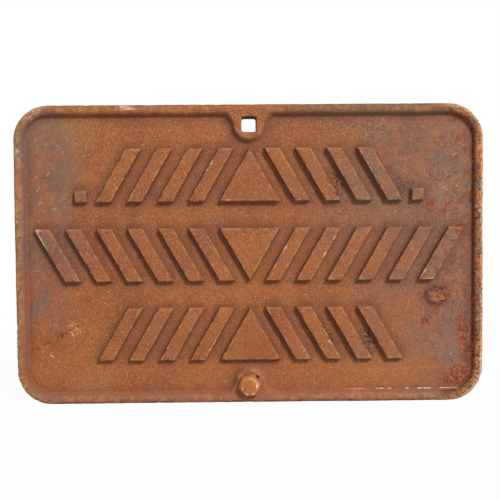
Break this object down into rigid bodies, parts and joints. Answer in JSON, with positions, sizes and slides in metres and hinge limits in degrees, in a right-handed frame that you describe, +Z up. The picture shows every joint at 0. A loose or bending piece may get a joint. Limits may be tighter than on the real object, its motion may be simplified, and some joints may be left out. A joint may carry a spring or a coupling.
{
  "type": "railway warning sign",
  "caption": "Rusted cast iron trackside warning sign: rounded plate with half-round rim, raised hazard bars, lugs with square fixing holes, and a hex bolt with washer and nut for its post.",
  "frame": {"origin": "middle of the plate's flat back face, which bears on the post", "axes": "+X to the right as the sign is read, +Y out of the back towards the post, +Z up; the face looks along -Y"},
  "size_m": [0.508, 0.0736, 0.324],
  "materials": {
    "casting": "rusted all over, rough sand-cast skin",
    "bolt": "rusted, worn bright on its edges",
    "washer": "rusted",
    "nut": "rusted"
  },
  "bodies": {
    "casting": {"sign_plate": "casting"},
    "bolt": {"hex_bolt": "bolt"},
    "nut": {"hex_nut": "nut", "plate_washer": "washer"}
  },
  "joints": [
    {"name": "bolt_turn", "type": "hinge", "parent": "casting", "child": "bolt", "pos_m": [-0.0012, 0, -0.1412], "axis": [0, 1, 0], "range_deg": [-1700, 3690]},
    {"name": "nut_travel", "type": "slide", "parent": "casting", "child": "nut", "axis": [0, -1, 0], "range_m": [-0.01, 0.0217]}
  ],
  "couplings": [
    {"joint": "nut_travel", "follows": "bolt_turn", "m_per_rad": 0.00033688}
  ]
}
